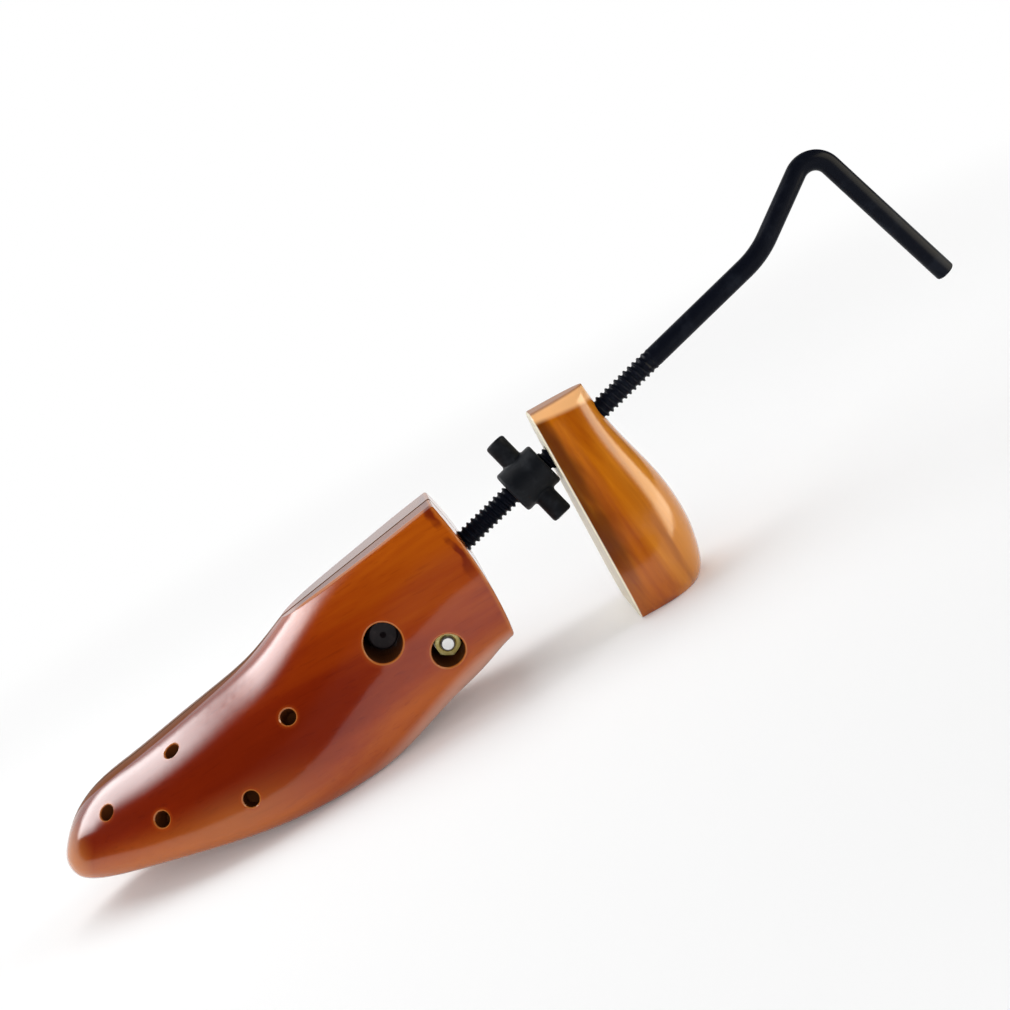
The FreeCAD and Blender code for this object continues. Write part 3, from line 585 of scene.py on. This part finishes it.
metals = {
    "blackSteel": {
        "dark": (0.004, 0.005, 0.009), "light": (0.009, 0.011, 0.017), "polish": 0.30, "spread": 0.20,
        "size": 110.0, "metallic": 0.0, "shine": 0.05, "speck": 0.25, "height": 0.02 * mm},
    "blackCasting": {
        "dark": (0.005, 0.006, 0.008), "light": (0.016, 0.018, 0.022), "polish": 0.45, "spread": 0.25,
        "size": 130.0, "metallic": 0.0, "shine": 0.14, "speck": 0.4, "height": 0.08 * mm},
    "darkSteel": {
        "dark": (0.010, 0.007, 0.008), "light": (0.032, 0.024, 0.025), "polish": 0.45, "spread": 0.3,
        "size": 220.0, "metallic": 0.3, "shine": 0.3, "speck": 0.5, "height": 0.03 * mm},
    "zincSteel": {
        "dark": (0.88, 0.88, 0.87), "light": (0.96, 0.96, 0.94), "polish": 0.30, "spread": 0.25,
        "size": 260.0, "metallic": 0.8, "shine": 0.5, "speck": 0.1, "height": 0.02 * mm},
    "yellowZinc": {
        "dark": (0.55, 0.43, 0.13), "light": (0.86, 0.78, 0.38), "polish": 0.32, "spread": 0.25,
        "size": 260.0, "metallic": 0.5, "shine": 0.5, "speck": 0.2, "height": 0.02 * mm},
    "springSteel": {
        "dark": (0.30, 0.30, 0.31), "light": (0.52, 0.52, 0.53), "polish": 0.30, "spread": 0.2,
        "size": 300.0, "metallic": 1.0, "shine": 0.5, "speck": 0.2, "height": 0.01 * mm},
    "plainSteel": {
        "dark": (0.36, 0.37, 0.38), "light": (0.56, 0.57, 0.58), "polish": 0.36, "spread": 0.25,
        "size": 160.0, "metallic": 1.0, "shine": 0.5, "speck": 0.3, "height": 0.02 * mm},
    "screwSteel": {
        "dark": (0.42, 0.36, 0.20), "light": (0.66, 0.58, 0.36), "polish": 0.34, "spread": 0.2,
        "size": 260.0, "metallic": 1.0, "shine": 0.5, "speck": 0.3, "height": 0.01 * mm},
    "wedgeIron": {
        "dark": (0.055, 0.055, 0.060), "light": (0.17, 0.17, 0.18), "polish": 0.48, "spread": 0.3,
        "size": 120.0, "metallic": 0.8, "shine": 0.5, "speck": 0.5, "height": 0.06 * mm},
}
metalDetail = {"speckDark": 0.5, "bumpStrength": 0.5}


def makeMetal(name):
    look = metals[name]
    material, tree, shader, place = newMaterial(
        name, {"Metallic": look["metallic"], "Specular IOR Level": look["shine"]})
    skin = useGroup(tree, metalSkin, {
        "Vector": place, "Polish": look["polish"], "Spread": look["spread"], "Size": look["size"]})
    colour = paint(tree, skin["Smudge"], look["dark"], look["light"])
    speckColour = [metalDetail["speckDark"] * channel for channel in look["dark"]]
    colour = paint(tree, times(tree, skin["Speck"], look["speck"]), colour, speckColour)
    feed(tree, shader["Base Color"], colour)
    feed(tree, shader["Roughness"], skin["Roughness"])
    bump(tree, shader, skin["Height"], look["height"], metalDetail["bumpStrength"])
    return material


finishes = {name: makeMetal(name) for name in metals}
finishes["toeWood"] = makeToeWood()
finishes["heelWood"] = makeHeelWood()
nodeFinishes = {
    "toe_half_near": "toeWood", "toe_half_far": "toeWood", "heel_block": "heelWood",
    "ramp_plate_near": "plainSteel", "ramp_plate_far": "plainSteel",
    "ramp_screws_near": "screwSteel", "ramp_screws_far": "screwSteel",
    "barrel_nut": "darkSteel", "hinge_bolt": "zincSteel", "hinge_nut": "yellowZinc",
    "hinge_washer_near": "zincSteel", "hinge_washer_far": "zincSteel",
    "spreader_wedge": "wedgeIron", "wedge_pin": "plainSteel", "length_nut": "blackCasting",
}
for name, finish in nodeFinishes.items():
    nodes[name].material_slots[0].material = finishes[finish]
print("finishes on", len(nodeFinishes), "nodes")


# Mesh helpers

def addObject(name, data):
    thing = bpy.data.objects.new(name, data)
    bpy.context.scene.collection.objects.link(thing)
    return thing


def finishPiece(bm, name, finish, sharpDegrees):
    bmesh.ops.recalc_face_normals(bm, faces=bm.faces)
    for face in bm.faces:
        face.smooth = True
    mesh = bpy.data.meshes.new(name)
    bm.to_mesh(mesh)
    bm.free()
    mesh.set_sharp_from_angle(angle=math.radians(sharpDegrees))
    mesh.materials.append(finishes[finish])
    print(name, "has", len(mesh.polygons), "faces")
    return addObject(name, mesh)


def ringAt(bm, along, radius, segments):  # circle round the spindle's own X axis
    turn = Matrix.Translation((along, 0, 0)) @ Matrix.Rotation(math.radians(90), 4, "Y")
    made = bmesh.ops.create_circle(bm, segments=segments, radius=radius, matrix=turn)
    return loopEdges(made["verts"])


def loopEdges(verts):
    found = set(verts)
    return [edge for edge in {e for v in verts for e in v.link_edges} if found.issuperset(edge.verts)]


def loopVerts(edges):
    return list({v for e in edges for v in e.verts})


def middleOf(verts):
    return sum((v.co for v in verts), Vector()) / len(verts)


def pushLoop(bm, edges, shift, radius=None):
    made = bmesh.ops.extrude_edge_only(bm, edges=edges)["geom"]
    verts = [item for item in made if isinstance(item, bmesh.types.BMVert)]
    bmesh.ops.translate(bm, verts=verts, vec=shift)
    if radius is not None:
        middle = middleOf(verts)
        factor = radius / (verts[0].co - middle).length
        bmesh.ops.scale(bm, verts=verts, vec=(factor,) * 3, space=Matrix.Translation(-middle))
    return loopEdges(verts)


def bendLoop(bm, edges, centre, degrees, steps):
    made = bmesh.ops.spin(
        bm, geom=loopVerts(edges) + edges, cent=centre, axis=(0, 1, 0),
        angle=math.radians(degrees), steps=steps)
    return [item for item in made["geom_last"] if isinstance(item, bmesh.types.BMEdge)]


def capLoop(bm, edges, rounding, segments):
    face = bmesh.ops.contextual_create(bm, geom=edges)["faces"][0]
    bmesh.ops.bevel(
        bm, geom=list(face.edges), offset=rounding, offset_type="OFFSET", affect="EDGES",
        segments=segments, profile=0.5, material=-1, clamp_overlap=True)


# Crank spindle with its rolled thread, one rod from the wedge to the handle

crankSpindle = {
    "pitch": 2.54 * mm,
    "crest": 4.65 * mm,
    "root": 3.65 * mm,
    "rod": 4.25 * mm,
    "front": -15.9 * mm,
    "end": 157.455 * mm,
    "fadeTurns": 3.4,
    "plainEnd": 0.2 * mm,
    "ridge": ((0.0, 0.0), (0.18, 0.02), (0.30, 0.16), (0.49, 0.86),
              (0.56, 1.0), (0.69, 1.0), (0.76, 0.86), (0.94, 0.16)),
    "steps": 32,
    "mergeWithin": 0.002 * mm,
    "cutWithin": 0.001 * mm,
    "collar": 0.6 * mm,
    "rodSegments": 40,
    "bend": (215.4 * mm, 40.0 * mm, 22.5),
    "bendSteps": 10,
    "jog": 47.6 * mm,
    "handleBend": (9.0 * mm, 107.08),
    "handleBendSteps": 22,
    "handle": 78.4 * mm,
    "endRound": (1.0 * mm, 4),
    "journal": ((0.0, 3.0), (-5.0, 3.0), (-5.0, 2.3), (-7.2, 2.3), (-7.2, 3.0), (-14.1, 3.0)),
    "journalSegments": 32,
    "journalRound": (0.3 * mm, 2),
    "sharp": 30.0,
}


def makeCrankSpindle():
    size = crankSpindle
    bm = bmesh.new()
    turns = math.ceil((size["end"] - size["front"]) / size["pitch"]) + 2
    last = None
    for turn in range(turns):
        for along, height in size["ridge"]:
            back = size["front"] + (turn - 1 + along) * size["pitch"]
            vert = bm.verts.new((back, 0, size["root"] + (size["crest"] - size["root"]) * height))
            if last:
                bm.edges.new((last, vert))
            last = vert
    vert = bm.verts.new((size["front"] + (turns - 1) * size["pitch"], 0, size["root"]))
    bm.edges.new((last, vert))
    bmesh.ops.spin(
        bm, geom=list(bm.verts) + list(bm.edges), cent=(0, 0, 0), axis=(1, 0, 0), angle=math.tau,
        steps=size["steps"], dvec=(size["pitch"] / size["steps"], 0, 0))
    bmesh.ops.remove_doubles(bm, verts=bm.verts, dist=size["mergeWithin"])

    # the ridges run out into the plain rod
    fadeStart = size["end"] - size["fadeTurns"] * size["pitch"]
    fadeLength = size["end"] - size["plainEnd"] - fadeStart
    for vert in bm.verts:
        share = min(1.0, max(0.0, (vert.co.x - fadeStart) / fadeLength))
        if share > 0:
            radius = math.hypot(vert.co.y, vert.co.z)
            factor = 1 + share * (size["rod"] / radius - 1)
            vert.co.y *= factor
            vert.co.z *= factor
    for back, outward in ((size["front"], -1), (size["end"], 1)):
        bmesh.ops.bisect_plane(
            bm, geom=list(bm.verts) + list(bm.edges) + list(bm.faces), dist=size["cutWithin"],
            plane_co=(back, 0, 0), plane_no=(outward, 0, 0), clear_outer=True)
    ends = [edge for edge in bm.edges if edge.is_boundary]
    frontEnd = [edge for edge in ends if edge.verts[0].co.x < 0]
    rearEnd = [edge for edge in ends if edge.verts[0].co.x > 0]

    # plain rod, first bend, jog, second bend and handle
    rodStart = size["end"] + size["collar"]
    rod = ringAt(bm, rodStart, size["rod"], size["rodSegments"])
    bmesh.ops.bridge_loops(bm, edges=rearEnd + rod)
    corner, radius, degrees = size["bend"]
    tangent = radius * math.tan(math.radians(degrees) / 2)
    rod = pushLoop(bm, rod, (corner - tangent - rodStart, 0, 0))
    rod = bendLoop(bm, rod, (corner - tangent, 0, radius), -degrees, size["bendSteps"])
    middle = middleOf(loopVerts(rod))
    lean = math.radians(degrees)
    direction = Vector((math.cos(lean), 0, math.sin(lean)))
    handleRadius, handleTurn = size["handleBend"]
    handleTangent = handleRadius * math.tan(math.radians(handleTurn) / 2)
    run = direction * (size["jog"] - tangent - handleTangent)
    rod = pushLoop(bm, rod, run)
    centre = middle + run + Vector((direction.z, 0, -direction.x)) * handleRadius
    rod = bendLoop(bm, rod, centre, handleTurn, size["handleBendSteps"])
    down = lean - math.radians(handleTurn)
    handle = Vector((math.cos(down), 0, math.sin(down))) * (size["handle"] - handleTangent)
    rod = pushLoop(bm, rod, handle)
    capLoop(bm, rod, *size["endRound"])

    # journal that turns in the wedge, grooved for the pin
    journal = ringAt(bm, size["front"], size["journal"][0][1] * mm, size["journalSegments"])
    bmesh.ops.bridge_loops(bm, edges=frontEnd + journal)
    for (fromX, fromR), (toX, toR) in zip(size["journal"], size["journal"][1:]):
        journal = pushLoop(bm, journal, ((toX - fromX) * mm, 0, 0), toR * mm)
    capLoop(bm, journal, *size["journalRound"])

    spindle = joints["crank_turn"]
    rise = math.atan2(spindle["axis"][2], spindle["axis"][0]) + math.pi
    place = Matrix.Translation(spindle["pos_m"]) @ Matrix.Rotation(-rise, 4, "Y")
    bmesh.ops.transform(bm, matrix=place, verts=bm.verts)
    piece = finishPiece(bm, "crankSpindle", "blackSteel", size["sharp"])
    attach(piece, "crank")
    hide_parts("crank_spindle")


makeCrankSpindle()


# Hinge springs, one coil on each side of the saw cut

hingeSpring = {
    "wire": 0.55 * mm,
    "wireSegments": 12,
    "coil": 4.0 * mm,
    "turns": 3.5,
    "start": 4.07 * mm,
    "rise": 7.86 * mm,
    "stepsPerTurn": 32,
    "washer": 12.5 * mm,
    "keep": 0.79,
    "sharp": 60.0,
}


def makeHingeSpring(side, node):
    size = hingeSpring
    low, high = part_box("hinge_bolt")
    bolt = (low + high) / 2
    sign = 1 if side == "far" else -1
    bm = bmesh.new()
    place = Matrix.Translation((bolt.x + size["coil"], sign * size["start"], bolt.z))
    wire = bmesh.ops.create_circle(
        bm, segments=size["wireSegments"], radius=size["wire"], matrix=place)["verts"]
    steps = round(size["turns"] * size["stepsPerTurn"])
    lastRing = bmesh.ops.spin(
        bm, geom=wire + loopEdges(wire), cent=(bolt.x, 0, bolt.z), axis=(0, -1, 0),
        angle=math.tau * size["turns"], steps=steps, dvec=(0, sign * size["rise"] / steps, 0))["geom_last"]
    for ring in (loopEdges(wire), [item for item in lastRing if isinstance(item, bmesh.types.BMEdge)]):
        bmesh.ops.contextual_create(bm, geom=ring)
    piece = finishPiece(bm, "hingeSpring" + side.capitalize(), "springSteel", size["sharp"])
    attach(piece, "core")
    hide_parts(node)
    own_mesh(piece)


makeHingeSpring("near", "hinge_spring_near")
makeHingeSpring("far", "hinge_spring_far")


# Studio: white paper floor, soft lamps for the wood, two softboxes for its gloss, a dark room in front

studio = {
    "floorSize": 12.0,
    "floorColour": (0.86, 0.86, 0.86),
    "floorLift": 0.105,
    "floorFade": (0.30, 0.75),
    "worldDiffuse": (0.32, 0.32, 0.32),
    "room": (0.015, 0.015, 0.02),
    "backdrop": {"rise": (122, 146), "side": (0.10, 0.35)},
}
softLamps = {
    "overhead": {"place": (-0.30, 0.30, 0.80), "aim": (-0.10, 0.0, 0.03), "size": (1.2, 0.5), "power": 5.0},
    "right": {"place": (0.95, 0.0, 0.40), "aim": (0.05, 0.0, 0.09), "size": (0.60, 0.70), "power": 4.0},
    "left": {"place": (-0.95, -0.25, 0.40), "aim": (-0.05, 0.0, 0.06), "size": (0.60, 0.60), "power": 2.4},
    "front": {"place": (-0.20, -1.15, 0.34), "aim": (-0.05, 0.0, 0.05), "size": (1.2, 0.5), "power": 6.2},
}
stripLamp = {
    "place": (-1.21, 0.358, 0.984), "aim": (-1.21, 0.0, 0.05), "size": (1.78, 1.30), "power": 68.0,
    "over": (-0.10, 0.0, 0.05), "rise": (79, 107), "fall": (132, 144),
    "front": (-0.96, -0.80), "rear": (-0.46, -0.26),
}
heelSoftbox = {
    "place": (0.305, -0.062, 0.115), "aim": (0.115, 0.0, 0.115), "size": (0.22, 0.23), "power": 1.06,
    "colour": (1.0, 0.886, 0.63), "fade": 0.32,
}


def makeFloor():
    bm = bmesh.new()
    bmesh.ops.create_grid(bm, x_segments=1, y_segments=1, size=studio["floorSize"] / 2)
    mesh = bpy.data.meshes.new("floor")
    bm.to_mesh(mesh)
    bm.free()
    floor = addObject("floor", mesh)
    material = bpy.data.materials.new("floorPaper")
    material.use_nodes = True
    tree = material.node_tree
    tree.nodes.clear()
    paper = addNode(tree, "ShaderNodeBsdfDiffuse")
    paper.inputs["Color"].default_value = (*studio["floorColour"], 1.0)
    glow = addNode(tree, "ShaderNodeEmission")
    glow.inputs["Color"].default_value = (*white, 1.0)
    away = vectorCalc(tree, "LENGTH", addNode(tree, "ShaderNodeTexCoord").outputs["Object"])
    light = addNode(tree, "ShaderNodeLightPath").outputs
    seen = most(tree, light["Is Camera Ray"], light["Is Transmission Ray"], light["Is Glossy Ray"])
    # near the object the lit paper keeps its shadow, farther off it goes white
    lift = ease(tree, away, *studio["floorFade"], studio["floorLift"], 1.0)
    feed(tree, glow.inputs["Strength"], times(tree, lift, seen))
    faded = addNode(tree, "ShaderNodeMixShader")
    feed(tree, faded.inputs["Fac"], times(tree, ease(tree, away, *studio["floorFade"]), seen))
    tree.links.new(paper.outputs[0], faded.inputs[1])
    added = addNode(tree, "ShaderNodeAddShader")
    tree.links.new(faded.outputs[0], added.inputs[0])
    tree.links.new(glow.outputs[0], added.inputs[1])
    output = addNode(tree, "ShaderNodeOutputMaterial")
    tree.links.new(added.outputs[0], output.inputs["Surface"])
    mesh.materials.append(material)


def overAngle(tree, toward):  # 0 at the near horizon, 90 overhead, 180 at the far one
    nearward = times(tree, toward["Y"], -1.0)
    return calc(tree, "DEGREES", calc(tree, "ARCTAN2", toward["Z"], nearward))


def makeWorld():
    world = bpy.data.worlds.new("studioRoom")
    bpy.context.scene.world = world
    world.use_nodes = True
    tree = world.node_tree
    tree.nodes.clear()
    toward = split(tree, addNode(tree, "ShaderNodeTexCoord").outputs["Generated"])
    backdrop = studio["backdrop"]
    behind = times(tree, ease(tree, overAngle(tree, toward), *backdrop["rise"]),
                   fade(tree, toward["X"], *backdrop["side"]))
    glossColour = paint(tree, behind, studio["room"], white)  # a white backdrop, a dark room before it
    light = addNode(tree, "ShaderNodeLightPath").outputs
    colour = paint(tree, light["Is Glossy Ray"], studio["worldDiffuse"], glossColour)
    seen = most(tree, light["Is Camera Ray"], light["Is Transmission Ray"])
    background = addNode(tree, "ShaderNodeBackground")
    feed(tree, background.inputs["Color"], paint(tree, seen, colour, white))
    output = addNode(tree, "ShaderNodeOutputWorld")
    tree.links.new(background.outputs[0], output.inputs["Surface"])


def makeLamp(name, setting, mirrored):  # a softbox shows in the gloss only, a soft lamp never does
    lamp = bpy.data.lights.new(name + "Lamp", "AREA")
    lamp.shape = "RECTANGLE"
    lamp.size, lamp.size_y = setting["size"]
    lamp.energy = setting["power"]
    lamp.color = setting.get("colour", white)
    holder = addObject(lamp.name, lamp)
    place = Vector(setting["place"])
    holder.location = place
    holder.rotation_euler = (Vector(setting["aim"]) - place).to_track_quat("-Z", "Y").to_euler()
    holder.visible_camera = False
    holder.visible_glossy, holder.visible_diffuse = mirrored, not mirrored
    return lamp


def shadeLamp(lamp, makeLevel):
    lamp.use_nodes = True
    tree = lamp.node_tree
    tree.nodes.clear()
    glow = addNode(tree, "ShaderNodeEmission")
    feed(tree, glow.inputs["Strength"], makeLevel(tree, addNode(tree, "ShaderNodeNewGeometry").outputs))
    tree.links.new(glow.outputs[0], addNode(tree, "ShaderNodeOutputLight").inputs["Surface"])


def stripLevel(tree, point):  # fades at its four sides, as seen from the toe
    away = vectorCalc(tree, "SUBTRACT", point["Position"], stripLamp["over"])
    toward = split(tree, vectorCalc(tree, "NORMALIZE", away))
    over = overAngle(tree, toward)
    return times(tree, ease(tree, over, *stripLamp["rise"]), fade(tree, over, *stripLamp["fall"]),
                 ease(tree, toward["X"], *stripLamp["front"]), fade(tree, toward["X"], *stripLamp["rear"]))


def softboxLevel(tree, point):  # brightest in the middle, fading to the box's sides
    across = split(tree, point["Parametric"])["X"]
    edge = heelSoftbox["fade"]
    return times(tree, ease(tree, across, 0.0, edge), fade(tree, across, 1.0 - edge, 1.0))


makeFloor()
makeWorld()
for name, setting in softLamps.items():
    makeLamp(name, setting, False)
shadeLamp(makeLamp("strip", stripLamp, True), stripLevel)
shadeLamp(makeLamp("softbox", heelSoftbox, True), softboxLevel)
print("studio lit")


# Camera where the photograph was taken, rolled as the photograph is

photoCamera = {
    "target": (0.01077, 0.0, 0.06455),
    "elevation": 12.0,
    "sideways": -0.016,
    "distance": 0.8,
    "roll": 29.35,
    "lens": 69.55,
    "sensor": 36.0,
}


def makeCamera():
    look = photoCamera
    tilt, roll = math.radians(look["elevation"]), math.radians(look["roll"])
    back = Vector((0.0, -math.cos(tilt), math.sin(tilt)))
    right = Vector((1.0, 0.0, 0.0))
    up = Vector((0.0, math.sin(tilt), math.cos(tilt)))
    rolledRight = right * math.cos(roll) - up * math.sin(roll)
    rolledUp = right * math.sin(roll) + up * math.cos(roll)
    camera = bpy.data.cameras.new("photoCamera")
    camera.lens = look["lens"]
    camera.sensor_width = look["sensor"]
    # set a little towards the toe, with the lens shifted back so that the saw cut stays square to the view
    reach = -look["sideways"] * look["lens"] / (look["distance"] * look["sensor"])
    camera.shift_x, camera.shift_y = reach * math.cos(roll), reach * math.sin(roll)
    holder = addObject("photoCamera", camera)
    aim = Matrix((rolledRight, rolledUp, back)).transposed().to_4x4()
    place = Vector(look["target"]) + back * look["distance"] + right * look["sideways"]
    holder.matrix_world = Matrix.Translation(place) @ aim
    bpy.context.scene.camera = holder


makeCamera()
bpy.context.scene.view_settings.view_transform = "Standard"
